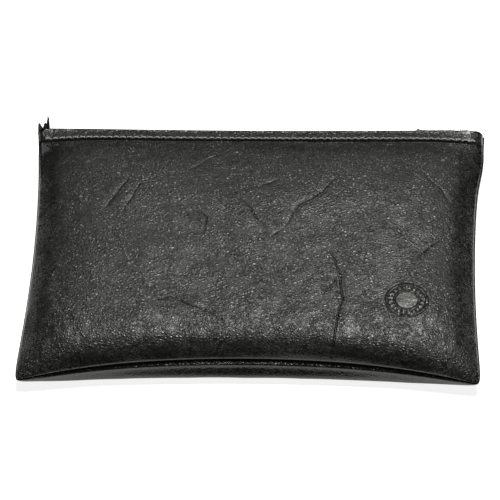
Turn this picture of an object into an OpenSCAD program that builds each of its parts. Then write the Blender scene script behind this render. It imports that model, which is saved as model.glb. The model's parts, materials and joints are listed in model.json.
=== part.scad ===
// Cash deposit bag: a lined leatherette pouch with a zip along one long edge.
// It lies on its back panel. X runs along the zip, Y points to the zip edge,
// and Z rises through the front panel. The origin is under the middle of its box.

/* [Bag] */
// Width from corner to corner, along the zip
bag_w = 255; // [210:1:330]
// Depth from the base corners to the zip corners
bag_d = 180; // [140:1:240]
// Height of the seam that joins the two panels
seam_h = 13; // [11:0.5:18]
// How far the front panel crowns above the seam
front_rise = 13; // [8:0.5:20]
// How far each side seam is pulled in at its middle
side_pull = 4.4; // [0:0.2:10]
// How far the base seam is pulled in at its middle
base_pull = 7; // [0:0.2:12]
// How far the zip edge is pulled in at its middle
mouth_pull = 2; // [0:0.2:4]
// How far the two base corners droop below the seam's height
base_droop = 5; // [0:0.5:7]
// How far the two zip corners droop below the seam's height
mouth_droop = 1; // [0:0.5:2]

/* [Sheet materials] */
// Thickness of the leatherette
skin_t = 1.2; // [0.8:0.1:1.6]
// Thickness of the lining cloth
lining_t = 0.4; // [0.2:0.1:0.8]
// Thickness of the zip tape
tape_t = 0.5; // [0.3:0.1:0.8]
// Free space between two layers of cloth
layer_gap = 0.1; // [0.05:0.05:0.3]
// Width of the turned-in hem along the zip
hem_w = 6; // [4:0.5:10]
// Width of the binding over the raw edges inside
binding_w = 6; // [4:0.5:9]
// Thickness of the binding with the edges that it wraps
binding_t = 1.6; // [1:0.1:2.5]

/* [Stitches] */
// Diameter of the sewing thread
thread_d = 0.7; // [0.4:0.05:1]
// Length of one stitch on the hem
stitch_len = 2.9; // [2:0.1:4]
// Distance from one hem stitch to the next
stitch_pitch = 3.9; // [3.2:0.1:6]
// Distance from one seam stitch to the next, inside
seam_pitch = 6; // [4:0.5:10]

/* [Zip] */
// How far the zip's teeth stand beyond the corners of the zip edge
chain_out = 0.6; // [0.4:0.1:2]
// Distance from one tooth to the next
tooth_pitch = 2; // [1.6:0.1:3]
// Thickness of a tooth, through the zip
tooth_t = 2.4; // [1.8:0.1:2.6]
// Distance from the zip's centre line to the back of a row of teeth
row_depth = 2.6; // [2:0.1:2.9]
// Distance from the bag's corner to the closed slider
end_gap = 7.5; // [6.5:0.5:20]

/* [Slider and pull] */
// Length of the slider
slider_l = 12; // [10:0.5:15]
// Thickness of the slider's flanges, which hold the rows in
flange_t = 0.6; // [0.4:0.1:1]
// Free space between the slider and the hems on either side
hem_clear = 0.7; // [0.5:0.1:2]
// Thickness of each of the slider's two plates
plate_t = 0.9; // [0.7:0.1:1.2]
// Free space between the slider and the teeth
slider_clear = 0.3; // [0.2:0.05:0.5]
// Length of the pull from its bar to its tip
pull_l = 26; // [18:1:40]
// Width of the pull
pull_w = 6; // [5:0.1:8]
// Thickness of the pull
pull_t = 1.2; // [0.8:0.1:1.6]
// Radius of the hole in the pull's tip
pull_hole_r = 1.6; // [1:0.1:2]
// Free space between the pull's bar and the bridge
bar_clear = 0.4; // [0.3:0.05:0.6]

/* [Mouth] */
// Clearance around the moving lip
lip_gap = 0.5; // [0.3:0.1:1]

/* [Hidden] */
$fn = 32;

leather = [0.07, 0.07, 0.07];
cloth = [0.16, 0.16, 0.17];
thread = [0.45, 0.45, 0.43];
nylon = [0.10, 0.10, 0.10];
nickel = [0.75, 0.75, 0.76];

half_w = bag_w / 2;
half_d = bag_d / 2;
// The back panel would reach this far below the table, so its middle lies flat on it
flattening = 1.2;
back_drop = seam_h + flattening;
// How far a cutting shape reaches past what it cuts
cut = 1;
u_steps = 12;
v_steps = 10;
lip_step_u = 6;
lip_step_v = 3;
lining_in = skin_t + layer_gap;
lining_out = lining_in + lining_t;
lip_share = sin(lip_step_u * 90 / u_steps);
lip_v = sin(lip_step_v * 90 / v_steps);
hem_v = 1 - hem_w / half_d;
chain_y = half_d + chain_out;
chain_z = seam_h - mouth_droop / 2;
tape_edge = 1.5;
tape_turn = 0.2;
slider_x = half_w - end_gap - slider_l / 2;
tail_inset = 0.5;
slider_w = 2 * (row_depth + slider_clear + flange_t + tail_inset);
zip_half = slider_w / 2 + hem_clear + tape_t + layer_gap + skin_t;
cavity_t = tooth_t + 2 * slider_clear;
row_end = slider_x - slider_clear;

// ---- the two panels as one family of nested surfaces ----
// u runs from side seam to side seam, v from the base (-1) to the zip (+1),
// and t is the depth below the outer face.

function front_side(u) = pow(1 - pow(abs(u), 6), 0.55);
function front_run(v) = v < 0 ? pow(1 - pow(-v, 9), 0.5) : 1 - pow(v, 4);
function back_side(u) = pow(1 - pow(abs(u), 8), 0.5);
function back_run(v) = v < 0 ? pow(1 - pow(-v, 9), 0.5) : pow(1 - pow(v, 6), 0.8);
function zip_lift(u, v) = v < 0 ? 0 : pow(v, 12) * (1 - pow(abs(u), 60));

function plan_x(u, v, t) = u * (half_w - t - side_pull * abs(u) * (1 - v * v));
function plan_y(u, v, t) =
    v * (half_d - t - (v < 0 ? base_pull : mouth_pull) * abs(v) * (1 - u * u));
function seam_z(u, v) = seam_h - (v < 0 ? base_droop : mouth_droop) * pow(u * v, 4);

function front_at(u, v, t) = [plan_x(u, v, t), plan_y(u, v, t),
    seam_z(u, v) + (front_rise - t) * front_side(u) * front_run(v)
        + (zip_half - t) * zip_lift(u, v)];
function back_at(u, v, t) = [plan_x(u, v, t), plan_y(u, v, t),
    max(t, seam_z(u, v) - (back_drop - t) * back_side(u) * back_run(v)
        - (zip_half - t) * zip_lift(u, v))];

// Grid lines that crowd together towards the seams
function u_line(k) = sin(k * 90 / u_steps);
function v_line(k) = sin(k * 90 / v_steps);

// A closed wall between an outer and an inner grid of points, both [i][j].
// keep(i, j) says which cells of the grid exist.
module wall(outer, inner, keep = function(i, j) true) {
    rows = len(outer);
    cols = len(outer[0]);
    points = concat([for (row = outer) each row], [for (row = inner) each row]);
    function lives(i, j) =
        i >= 0 && j >= 0 && i < rows - 1 && j < cols - 1 && keep(i, j);
    function out(i, j) = i * cols + j;
    function back(i, j) = rows * cols + out(i, j);
    faces = [for (i = [0:rows - 2], j = [0:cols - 2]) if (lives(i, j)) each [
        [out(i, j), out(i, j + 1), out(i + 1, j + 1)],
        [out(i, j), out(i + 1, j + 1), out(i + 1, j)],
        [back(i, j), back(i + 1, j + 1), back(i, j + 1)],
        [back(i, j), back(i + 1, j), back(i + 1, j + 1)],
        if (!lives(i - 1, j)) each edge(out(i, j), out(i, j + 1), back(i, j), back(i, j + 1)),
        if (!lives(i + 1, j))
            each edge(out(i + 1, j + 1), out(i + 1, j), back(i + 1, j + 1), back(i + 1, j)),
        if (!lives(i, j - 1)) each edge(out(i + 1, j), out(i, j), back(i + 1, j), back(i, j)),
        if (!lives(i, j + 1))
            each edge(out(i, j + 1), out(i + 1, j + 1), back(i, j + 1), back(i + 1, j + 1))]];
    polyhedron(points, faces);
}
function edge(a, b, c, d) = [[b, a, c], [b, c, d]];

// A closed bar through a list of four-cornered rings
module bar(rings) {
    n = len(rings);
    side = [for (i = [0:n - 2], k = [0:3]) each [
        [i * 4 + k, i * 4 + (k + 1) % 4, (i + 1) * 4 + k],
        [i * 4 + (k + 1) % 4, (i + 1) * 4 + (k + 1) % 4, (i + 1) * 4 + k]]];
    last = (n - 1) * 4;
    caps = [[0, 2, 1], [0, 3, 2], [last, last + 1, last + 2], [last, last + 2, last + 3]];
    polyhedron([for (ring = rings) each ring], concat(side, caps));
}

// ---- shells ----

u_all = [for (k = [-u_steps:u_steps]) u_line(k)];
v_all = [for (k = [-v_steps:v_steps]) v_line(k)];
lip_u = [for (k = [-lip_step_u:lip_step_u])
    abs(k) == lip_step_u ? sign(k) * (u_line(lip_step_u) - lip_gap / half_w) : u_line(k)];
lip_vs = [for (k = [lip_step_v:v_steps]) k == lip_step_v ? lip_v + lip_gap / half_d : v_line(k)];

function in_lip(i, j) = abs(i + 0.5 - u_steps) < lip_step_u && j + 0.5 - v_steps > lip_step_v;

module front_panel() {
    color(leather)
        wall([for (v = v_all) [for (u = u_all) front_at(u, v, 0)]],
            [for (v = v_all) [for (u = u_all) front_at(u, v, skin_t)]],
            function(i, j) !in_lip(j, i));
}

module mouth_lip() {
    color(leather)
        wall([for (v = lip_vs) [for (u = lip_u) front_at(u, v, 0)]],
            [for (v = lip_vs) [for (u = lip_u) front_at(u, v, skin_t)]]);
}

module back_panel() {
    color(leather)
        wall([for (v = v_all) [for (u = u_all) back_at(u, v, skin_t)]],
            [for (v = v_all) [for (u = u_all) back_at(u, v, 0)]]);
}

// ---- lining, which ends where the hem is turned in ----

v_lined = [for (v = v_all) if (v < hem_v) v, hem_v];
lip_lined = [for (v = lip_vs) if (v < hem_v) v, hem_v];

module front_lining() {
    color(cloth)
        wall([for (v = v_lined) [for (u = u_all) front_at(u, v, lining_in)]],
            [for (v = v_lined) [for (u = u_all) front_at(u, v, lining_out)]],
            function(i, j) !in_lip(j, i));
}

module mouth_lip_lining() {
    color(cloth)
        wall([for (v = lip_lined) [for (u = lip_u) front_at(u, v, lining_in)]],
            [for (v = lip_lined) [for (u = lip_u) front_at(u, v, lining_out)]]);
}

module back_lining() {
    color(cloth)
        wall([for (v = v_lined) [for (u = u_all) back_at(u, v, lining_out)]],
            [for (v = v_lined) [for (u = u_all) back_at(u, v, lining_in)]]);
}

// ---- bound seam inside, along both sides and the base ----

binding_gap = 0.5;
binding_in = lining_out + binding_gap;
side_vs = [for (k = [v_steps - 2:-1:1 - v_steps]) v_line(k)];
base_us = [for (k = [1 - u_steps:u_steps - 1]) u_line(k)];
// Length left unstitched at each end of a side seam and of the base seam
side_bare = 10;
base_bare = 15;
seam_path = concat([for (v = side_vs) [-1, v]], [[-1, -1]], [for (u = base_us) [u, -1]],
    [[1, -1]], [for (k = [len(side_vs) - 1:-1:0]) [1, side_vs[k]]]);

function seam_at(p, t, dz) =
    [plan_x(p[0], p[1], t), plan_y(p[0], p[1], t), seam_z(p[0], p[1]) + dz];

module seam_binding() {
    far = binding_in + binding_w;
    color(cloth)
        bar([for (p = seam_path) [seam_at(p, binding_in, binding_t / 2),
            seam_at(p, far, binding_t / 2), seam_at(p, far, -binding_t / 2),
            seam_at(p, binding_in, -binding_t / 2)]]);
}

// A straight length of thread between two points
module thread_between(a, b, d = thread_d) {
    run = b - a;
    translate(a)
        rotate([0, acos(run[2] / norm(run)), atan2(run[1], run[0])])
            cylinder(h = norm(run), d = d, $fn = 16);
}

module seam_stitching() {
    t = binding_in + binding_w / 2;
    up = binding_t / 2 + thread_d / 2 + layer_gap;
    reach_v = 1 - 2 * side_bare / bag_d;
    reach_u = 1 - 2 * base_bare / bag_w;
    side_n = floor(bag_d * reach_v / seam_pitch);
    base_n = floor(bag_w * reach_u / seam_pitch);
    half_v = stitch_len / bag_d;
    half_u = stitch_len / bag_w;
    color(thread) {
        for (s = [-1, 1], k = [0:side_n - 1]) {
            v = reach_v * (2 * (k + 0.5) / side_n - 1) - side_bare / bag_d;
            thread_between(seam_at([s, v - half_v], t, up), seam_at([s, v + half_v], t, up));
        }
        for (k = [0:base_n - 1]) {
            u = reach_u * (2 * (k + 0.5) / base_n - 1);
            thread_between(seam_at([u - half_u, -1], t, up), seam_at([u + half_u, -1], t, up));
        }
    }
}

// ---- zip tapes: sewn under the hem, then turned across the mouth to the teeth ----

tape_in = skin_t + layer_gap;
tape_v = hem_v + 2 * layer_gap / half_d;
tape_vs = [tape_v, for (v = v_all) if (v > tape_v) v];

function front_tape_row(u, t, out) = [for (v = tape_vs) front_at(u, v, t),
    [plan_x(u, 1, 0), chain_y + out, front_at(u, 1, t)[2] - tape_turn],
    [plan_x(u, 1, 0), chain_y + out, chain_z + tape_edge]];
function back_tape_row(u, t, out) = [for (v = tape_vs) back_at(u, v, t),
    [plan_x(u, 1, 0), chain_y + out, back_at(u, 1, t)[2] + tape_turn],
    [plan_x(u, 1, 0), chain_y + out, chain_z - tape_edge]];

module front_tape(us) {
    wall([for (u = us) front_tape_row(u, tape_in + tape_t, -tape_t / 2)],
        [for (u = us) front_tape_row(u, tape_in, tape_t / 2)]);
}

// The tapes end two grid lines before the side seams
tape_us = [for (k = [2 - u_steps:u_steps - 2]) u_line(k)];
right_us = [u_line(lip_step_u) + lip_gap / half_w,
    for (u = tape_us) if (u > u_line(lip_step_u)) u];
left_us = [for (k = [len(right_us) - 1:-1:0]) -right_us[k]];

module front_zip_tape() {
    color(nylon) {
        front_tape(left_us);
        front_tape(right_us);
    }
}

module lip_zip_tape() {
    color(nylon) front_tape(lip_u);
}

module back_zip_tape() {
    color(nylon)
        wall([for (u = tape_us) back_tape_row(u, tape_in, tape_t / 2)],
            [for (u = tape_us) back_tape_row(u, tape_in + tape_t, -tape_t / 2)]);
}

// ---- teeth: two combs that mesh on the zip's centre line ----

mesh_gap = 0.3;
tooth_w = tooth_pitch / 2 - mesh_gap;
tooth_tip = 0.8;
root_gap = 0.2;
tooth_root = tooth_tip + root_gap;
row_start = -slider_x - slider_l / 2;
lip_bare = 1;
lip_half = lip_share * half_w - lip_bare;

// A comb from x = a to x = b, with its back above the centre line and its teeth pointing down
module comb(a, b, shift) {
    first = ceil((a - shift) / tooth_pitch);
    last = floor((b - shift - tooth_w) / tooth_pitch);
    teeth = [for (k = [first:last]) each let(x = shift + k * tooth_pitch)
        [[x, tooth_root], [x, -tooth_tip], [x + tooth_w, -tooth_tip], [x + tooth_w, tooth_root]]];
    translate([0, chain_y, chain_z])
        rotate([90, 0, 0])
            linear_extrude(tooth_t, center = true)
                polygon(concat([[a, row_depth], [a, tooth_root]], teeth,
                    [[b, tooth_root], [b, row_depth]]));
}

// The groove in the back of a comb that takes the edge of the tape
module tape_groove(a, b) {
    translate([a - cut, chain_y - tape_t / 2 - layer_gap, chain_z + tape_edge - layer_gap])
        cube([b - a + 2 * cut, tape_t + 2 * layer_gap, row_depth]);
}

module front_row(a, b) {
    difference() {
        comb(a, b, 0);
        tape_groove(a, b);
    }
}

module front_teeth() {
    color(nylon) {
        front_row(row_start, -lip_half - lip_gap);
        front_row(lip_half + lip_gap, row_end);
    }
}

module lip_teeth() {
    color(nylon) front_row(-lip_half, lip_half);
}

module back_teeth() {
    color(nylon)
        translate([0, 0, 2 * chain_z]) mirror([0, 0, 1])
            difference() {
                comb(row_start, row_end, tooth_pitch / 2);
                tape_groove(row_start, row_end);
            }
}

// ---- topstitching along both hems ----

stitch_edge = 0.6;
stitch_v = hem_v + stitch_edge / half_d;
stitch_bare = 3.8;
stitch_n = floor((bag_w - 2 * stitch_bare) / stitch_pitch);
stitch_x = [for (k = [0:stitch_n - 1]) (k - (stitch_n - 1) / 2) * stitch_pitch];
lip_reach = lip_share * half_w - stitch_len;

module hem_stitch(x, front) {
    up = [0, 0, (front ? 1 : -1) * (thread_d / 2 + layer_gap)];
    a = (x - stitch_len / 2) / half_w;
    b = (x + stitch_len / 2) / half_w;
    if (front)
        thread_between(front_at(a, stitch_v, 0) + up, front_at(b, stitch_v, 0) + up);
    else
        thread_between(back_at(a, stitch_v, 0) + up, back_at(b, stitch_v, 0) + up);
}

module front_topstitch() {
    color(thread) for (x = stitch_x) if (abs(x) > lip_share * half_w + stitch_len / 2) hem_stitch(x, true);
}

module lip_topstitch() {
    color(thread) for (x = stitch_x) if (abs(x) < lip_reach) hem_stitch(x, true);
}

module back_topstitch() {
    color(thread) for (x = stitch_x) hem_stitch(x, false);
}

tack_n = 4;
tack_bare = 4.5;
tack_pitch = 1.3 * thread_d;
tack_low = 4;
tack_high = 0.9;

// Close stitches across the hem at each end of the zip
module corner_bartacks() {
    up = [0, 0, thread_d / 2 + layer_gap];
    color(thread)
        for (s = [-1, 1], k = [0:tack_n - 1]) {
            u = s * (1 - (tack_bare + k * tack_pitch) / half_w);
            thread_between(front_at(u, 1 - tack_low / half_d, 0) + up,
                front_at(u, 1 - tack_high / half_d, 0) + up);
        }
}

// ---- stops ----

stop_l = 2.2;
stop_w = 2;
stop_lap = 0.2;
stop_part = 0.5;

module stop_block(x, low, high, depth) {
    difference() {
        translate([x, chain_y - depth / 2, chain_z + low])
            cube([stop_l, depth, high - low]);
        translate([x - cut, chain_y - tape_t / 2 - layer_gap, chain_z + tape_edge - layer_gap])
            cube([stop_l + 2 * cut, tape_t + 2 * layer_gap, zip_half]);
        translate([x - cut, chain_y - tape_t / 2 - layer_gap,
            chain_z - tape_edge + layer_gap - zip_half])
            cube([stop_l + 2 * cut, tape_t + 2 * layer_gap, zip_half]);
    }
}

module top_stops() {
    x = slider_x + slider_l / 2 + slider_clear;
    color(nickel) {
        stop_block(x, stop_part, row_depth + stop_lap, stop_w);
        stop_block(x, -row_depth - stop_lap, -stop_part, stop_w);
    }
}

module bottom_stop() {
    x = -slider_x - slider_l / 2 - slider_clear - stop_l;
    color(nickel) stop_block(x, -row_depth - stop_lap, row_depth + stop_lap, tooth_t);
}

// ---- slider: two plates joined by a post, a bridge on the outer plate ----

tail_cut = 1.4;
nose_cut = 2.1;
post_r = 1.1;
post_in = 2.4;
flange_h = cavity_t / 2 - tape_t / 2 - slider_clear;
outer_face = chain_y + cavity_t / 2 + plate_t;

// The plate's outline: broad where the rows part, narrower where they leave
module slider_outline() {
    nose = slider_w / 2;
    tail = slider_w / 2 - tail_inset;
    end = slider_l / 2;
    polygon([[-end, -tail + tail_cut], [-end + tail_cut, -tail],
        [end - 2 * tail_cut, -nose], [end, -nose + nose_cut],
        [end, nose - nose_cut], [end - 2 * tail_cut, nose],
        [-end + tail_cut, tail], [-end, tail - tail_cut]]);
}

module slider_body() {
    color(nickel)
        translate([slider_x, chain_y, chain_z]) {
            for (s = [-1, 1])
                translate([0, s * (cavity_t + plate_t) / 2, 0])
                    rotate([90, 0, 0])
                        linear_extrude(plate_t, center = true) slider_outline();
            // flanges that hold the rows in, with a slot left for each tape
            for (s = [-1, 1], r = [-1, 1])
                translate([-slider_l / 2 + tail_cut,
                    s * (cavity_t / 2 - flange_h / 2) - flange_h / 2,
                    r * (slider_w / 2 - tail_inset - flange_t / 2) - flange_t / 2])
                    cube([slider_l / 2, flange_h, flange_t]);
            // the post that parts the rows
            translate([slider_l / 2 - post_in, 0, 0])
                rotate([90, 0, 0])
                    cylinder(h = cavity_t + plate_t, r = post_r, center = true);
        }
}

bridge_in = 1.5;
bridge_l = slider_l - 2 * bridge_in;
bridge_w = 1.4;
bridge_t = 0.9;
bar_r = 0.6;
bar_up = max(bar_r, pull_t / 2) + slider_clear;
bridge_gap = bar_up + bar_r + bar_clear;

module slider_bridge() {
    color(nickel)
        translate([slider_x - bridge_l / 2, outer_face, chain_z - bridge_w / 2])
            difference() {
                cube([bridge_l, bridge_gap + bridge_t, bridge_w]);
                translate([bridge_t, -cut, -cut])
                    cube([bridge_l - 2 * bridge_t, bridge_gap + cut, bridge_w + 2 * cut]);
            }
}

// The frame's origin is under the middle of the whole box, so everything shifts by
// half of what the slider adds beyond the zip corners.
box_y = outer_face + bridge_gap + bridge_t;
module place() {
    translate([0, (half_d - box_y) / 2, 0]) children();
}

// ---- pull: a flat tongue with a window at the bridge and a hole at its tip ----

tip_wall = 0.4;
window_w = bridge_w + 2 * bar_clear;
window_far = norm([bridge_l / 2, bridge_gap + bridge_t - bar_up]) + bar_clear;

module pull_tab() {
    tip_r = pull_w / 2;
    color(nickel)
        translate([slider_x, outer_face + bar_up, chain_z])
            difference() {
                union() {
                    translate([-pull_l + tip_r, -pull_t / 2, -pull_w / 2])
                        cube([pull_l - tip_r, pull_t, pull_w]);
                    translate([-pull_l + tip_r, 0, 0])
                        rotate([90, 0, 0])
                            cylinder(h = pull_t, r = tip_r, center = true);
                    cylinder(h = pull_w, r = bar_r, center = true);
                }
                translate([-window_far, -pull_t, -window_w / 2])
                    cube([window_far - bar_r, 2 * pull_t, window_w]);
                translate([-pull_l + tip_r + tip_wall, 0, 0])
                    rotate([90, 0, 0])
                        cylinder(h = 3 * pull_t, r = pull_hole_r, center = true);
            }
}

place() front_panel();
place() back_panel();
place() front_lining();
place() back_lining();
place() mouth_lip();
place() mouth_lip_lining();
place() seam_binding();
place() seam_stitching();
place() front_zip_tape();
place() lip_zip_tape();
place() back_zip_tape();
place() front_teeth();
place() lip_teeth();
place() back_teeth();
place() front_topstitch();
place() lip_topstitch();
place() back_topstitch();
place() corner_bartacks();
place() top_stops();
place() bottom_stop();
place() slider_body();
place() slider_bridge();
place() pull_tab();
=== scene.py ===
import json
import math

import bmesh
import bpy
import numpy as np
from mathutils import Matrix, Vector, noise


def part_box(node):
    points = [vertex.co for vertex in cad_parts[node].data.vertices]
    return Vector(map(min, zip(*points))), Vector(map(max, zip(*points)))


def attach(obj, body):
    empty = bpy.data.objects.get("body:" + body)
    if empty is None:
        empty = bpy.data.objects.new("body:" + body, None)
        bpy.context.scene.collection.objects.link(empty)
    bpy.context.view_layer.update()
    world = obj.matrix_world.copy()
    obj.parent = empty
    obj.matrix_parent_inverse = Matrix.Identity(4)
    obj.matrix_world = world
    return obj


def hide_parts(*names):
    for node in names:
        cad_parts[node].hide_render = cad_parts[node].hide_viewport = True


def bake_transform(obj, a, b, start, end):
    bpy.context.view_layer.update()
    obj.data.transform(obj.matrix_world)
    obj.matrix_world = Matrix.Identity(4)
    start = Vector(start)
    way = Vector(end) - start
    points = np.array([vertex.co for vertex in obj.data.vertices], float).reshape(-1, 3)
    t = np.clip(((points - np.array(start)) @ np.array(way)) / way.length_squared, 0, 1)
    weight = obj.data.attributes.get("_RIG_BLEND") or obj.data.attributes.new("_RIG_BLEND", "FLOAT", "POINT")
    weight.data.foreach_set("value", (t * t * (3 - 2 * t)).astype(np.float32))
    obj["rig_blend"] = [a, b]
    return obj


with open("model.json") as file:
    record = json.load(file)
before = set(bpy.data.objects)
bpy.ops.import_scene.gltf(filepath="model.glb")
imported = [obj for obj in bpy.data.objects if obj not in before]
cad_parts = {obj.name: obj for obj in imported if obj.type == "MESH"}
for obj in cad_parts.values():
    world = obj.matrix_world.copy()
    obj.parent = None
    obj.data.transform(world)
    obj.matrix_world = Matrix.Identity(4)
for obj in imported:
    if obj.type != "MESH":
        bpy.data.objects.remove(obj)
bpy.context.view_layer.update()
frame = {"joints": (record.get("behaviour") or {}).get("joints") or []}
MM = 0.001

# ---- camera ----
# A long lens looks down over the base of the bag, a little from its right, and leans
# slightly to one side. It points a few millimetres off the middle of the bag.


def add_object(name, data):
    """Puts a mesh, lamp or camera in the scene."""
    thing = bpy.data.objects.new(name, data)
    bpy.context.scene.collection.objects.link(thing)
    return thing


azimuth = math.radians(5.2)
elevation = math.radians(48.3)
lean = math.radians(3.5)
camera_distance = 2.2
aim_height, aim_left, aim_up = 12 * MM, 2.1 * MM, 0.8 * MM
across = Vector((math.cos(azimuth), math.sin(azimuth), 0))
toward = Vector((math.sin(azimuth) * math.cos(elevation),
                 -math.cos(azimuth) * math.cos(elevation), math.sin(elevation)))
upward = toward.cross(across)
camera_x = across * math.cos(lean) - upward * math.sin(lean)
camera_y = upward * math.cos(lean) + across * math.sin(lean)
aim = Vector((0, 0, aim_height)) - camera_x * aim_left + camera_y * aim_up

lens = bpy.data.cameras.new("camera")
lens.lens = 285
lens.sensor_width = 36
camera = add_object("camera", lens)
camera.matrix_world = Matrix.Translation(aim + toward * camera_distance) @ Matrix(
    (camera_x, camera_y, toward)).transposed().to_4x4()
bpy.context.scene.camera = camera

# ---- front panel ----
# One cut of black leatherette, crowned over the money inside it. Its sides and base roll
# down into the seam, and its zip edge is turned under in a hem of two layers.
low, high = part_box("front_panel")
half_w = high.x
half_d = (high.y - low.y) / 2
mid_y = (high.y + low.y) / 2
seam_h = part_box("back_panel")[1].z
front_rise = high.z - seam_h
skin_t = 1.2 * MM
zip_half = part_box("mouth_lip")[0].z - seam_h + skin_t
side_pull, base_pull, mouth_pull = 4.4 * MM, 13 * MM, 2 * MM
base_droop, mouth_droop = 5 * MM, 1 * MM
corner_cut = 2.2 * MM
end_bulge, bulge_v, bulge_reach = 1.6 * MM, 0.76, 0.17
end_curl, curl_reach = 4.4 * MM, 0.075
seam_roll = 1.6 * MM
hem_w = 7.8 * MM
hem_rise = 1.1 * MM
edge_rise = 0.35 * hem_rise
hem_v = 1 - hem_w / half_d
stitch_in = 6.8 * MM
stitch_pitch = 3.9 * MM


def ease(t):
    """A smooth step from 0 to 1."""
    t = np.clip(t, 0, 1)
    return t * t * (3 - 2 * t)


def xyz(x, y, z):
    """Points from their three numbers, any of which may be one for all."""
    return np.stack(np.broadcast_arrays(x, y, z), -1)


def tuck(height):
    """How far a panel turns in where it rolls into the seam, by its height over the seam."""
    short = np.clip(1 - height / seam_roll, 0, 1)
    return seam_roll * (1 - np.sqrt(1 - short ** 2))


def plan(u, v, side_in, end_in):
    """Where a point of the bag lies seen from above: u from side to side, v from base to zip."""
    end_pull = np.where(v < 0, base_pull, mouth_pull)
    x = u * (half_w - side_in - side_pull * np.abs(u) * (1 - v ** 2))
    y = mid_y + v * (half_d - end_in - end_pull * np.abs(v) * (1 - u ** 2))
    cut = corner_cut * np.abs(u) ** (half_w / 2 / corner_cut)
    cut = np.where(v < 0, cut * np.abs(v) ** (half_d / 2 / corner_cut), 0)
    bulge = end_bulge * np.clip(u, 0, 1) ** 8 * np.exp(-((v - bulge_v) / bulge_reach) ** 2)
    return x - np.sign(u) * cut + bulge, y + cut


def seam_z(u, v):
    """Height of the seam: low at the base corners, and curled up at the zip's open end."""
    curl = end_curl * np.clip((curl_reach - 1 - u) / curl_reach, 0, 1) ** 2
    curl = curl * np.clip(v, 0, 1) ** 6
    return seam_h - np.where(v < 0, base_droop, mouth_droop) * (u * v) ** 4 + curl


def off_corners(u):
    """1 along the zip edge, and 0 at its very ends."""
    return 1 - np.abs(u) ** 60


def zip_lift(u, v):
    """How much of the gap for the zip stands between the panel and the seam's height."""
    return np.where(v < 0, 0, np.abs(v) ** 12 * off_corners(u))


def front_at(u, v, depth=0.0):
    """A point of the front, at a depth under its outer face."""
    u, v = np.broadcast_arrays(u, v)
    side = 1 - np.abs(u) ** 8
    run = np.where(v < 0, 1 - np.abs(v) ** 11, 1 - v ** 4)
    x, y = plan(u, v, depth + tuck(front_rise * side),
                depth + np.where(v < 0, tuck(front_rise * run), 0))
    z = seam_z(u, v) + (front_rise - depth) * side * run
    return xyz(x, y, z + (zip_half - depth) * zip_lift(u, v))


def run_along(points):
    """Distance along a line of points, from its start to each of them."""
    return np.append(0, np.cumsum(np.linalg.norm(np.diff(points, axis=0), axis=1)))


def lines_on(curve, step, spots=()):
    """Values from -1 to 1 that lie a step apart on a curve, and closer near the spots.
    A spot is (value, reach, how many more lines)."""
    fine = np.linspace(-1, 1, 6001)
    run = run_along(curve(fine))
    crowd = np.ones_like(run)
    for value, reach, more in spots:
        crowd += more * np.exp(-((run - np.interp(value, fine, run)) / reach) ** 2)
    count = np.append(0, np.cumsum((crowd[1:] + crowd[:-1]) / 2 * np.diff(run))) / step
    lines = 3 * max(1, round(count[-1] / 3))
    return np.interp(np.linspace(0, count[-1], lines + 1), count, fine)


def facing(grid):
    """The direction out of a grid of points, at each point."""
    out = np.cross(np.gradient(grid, axis=1), np.gradient(grid, axis=0))
    return out / np.maximum(np.linalg.norm(out, axis=-1, keepdims=True), 1e-12)


def waves(x, y, size, layer):
    """Smooth random waves of about one size, the same at every run."""
    flat = [noise.noise(Vector((a / size, b / size, layer))) for a, b in zip(x.flat, y.flat)]
    return np.array(flat).reshape(x.shape)


def drape(x, y):
    """The slow hollows and swells that every layer of the front shares."""
    return 0.75 * MM * waves(x, y, 46 * MM, 3.3) + 0.3 * MM * waves(x, y, 17 * MM, 8.1)


def crease(x, y, points):
    """Where points lie by a line: how far off it, left or right, and how deep its fold is there."""
    points = np.array(points) * MM
    run = run_along(points)
    nearest = np.full(x.shape, np.inf)
    side = np.ones(x.shape)
    along = np.zeros(x.shape)
    for k in range(len(points) - 1):
        leg = points[k + 1] - points[k]
        ax, ay = x - points[k, 0], y - points[k, 1]
        t = np.clip((ax * leg[0] + ay * leg[1]) / (leg @ leg), 0, 1)
        gap = np.hypot(ax - t * leg[0], ay - t * leg[1])
        closer = gap < nearest
        along = np.where(closer, (run[k] + t * (run[k + 1] - run[k])) / run[-1], along)
        side = np.where(closer, np.sign(leg[0] * ay - leg[1] * ax), side)
        nearest = np.minimum(gap, nearest)
    return nearest * side, np.sqrt(np.clip(np.sin(math.pi * along), 0, 1))


# Creases, listed in millimetres from the middle: the line, its width and its depth
CREASES = [
    ([(43, -9), (49, -28), (51, -47), (47, -72), (45, -84)], 1.1, 0.55),
    ([(49, -28), (44, -36), (39, -43)], 0.9, 0.35),
    ([(-71, 47), (-77, 33), (-84, 20)], 1.0, 0.5),
    ([(-64, 41), (-70, 26), (-74, 15)], 0.9, 0.3),
    ([(-38, 52), (-28, 61), (-20, 66)], 1.0, 0.4),
    ([(-31, 21), (-26, 13), (-27, 2)], 0.9, 0.4),
    ([(-9, 29), (0, 16), (7, 5)], 1.0, 0.4),
    ([(0, 36), (12, 43)], 0.9, 0.35),
    ([(17, 6), (26, 23), (38, 33), (45, 46)], 1.0, 0.45),
    ([(8, -3), (15, 4)], 0.9, 0.3),
    ([(81, 60), (94, 50), (104, 38), (110, 27)], 1.0, 0.4),
    ([(91, -15), (98, -7), (104, 1)], 0.9, 0.4),
    ([(-55, -50), (-43, -45), (-33, -50), (-20, -57), (-12, -63)], 1.1, 0.4),
    ([(0, -44), (1, -56)], 0.9, 0.3),
    ([(-112, -33), (-107, -21)], 0.9, 0.3),
    ([(72, -72), (76, -69)], 0.8, 0.3),
]

mark_x, mark_y = 86 * MM, -46 * MM
mark_r = 11 * MM
mark_depth = 0.7 * MM


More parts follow.
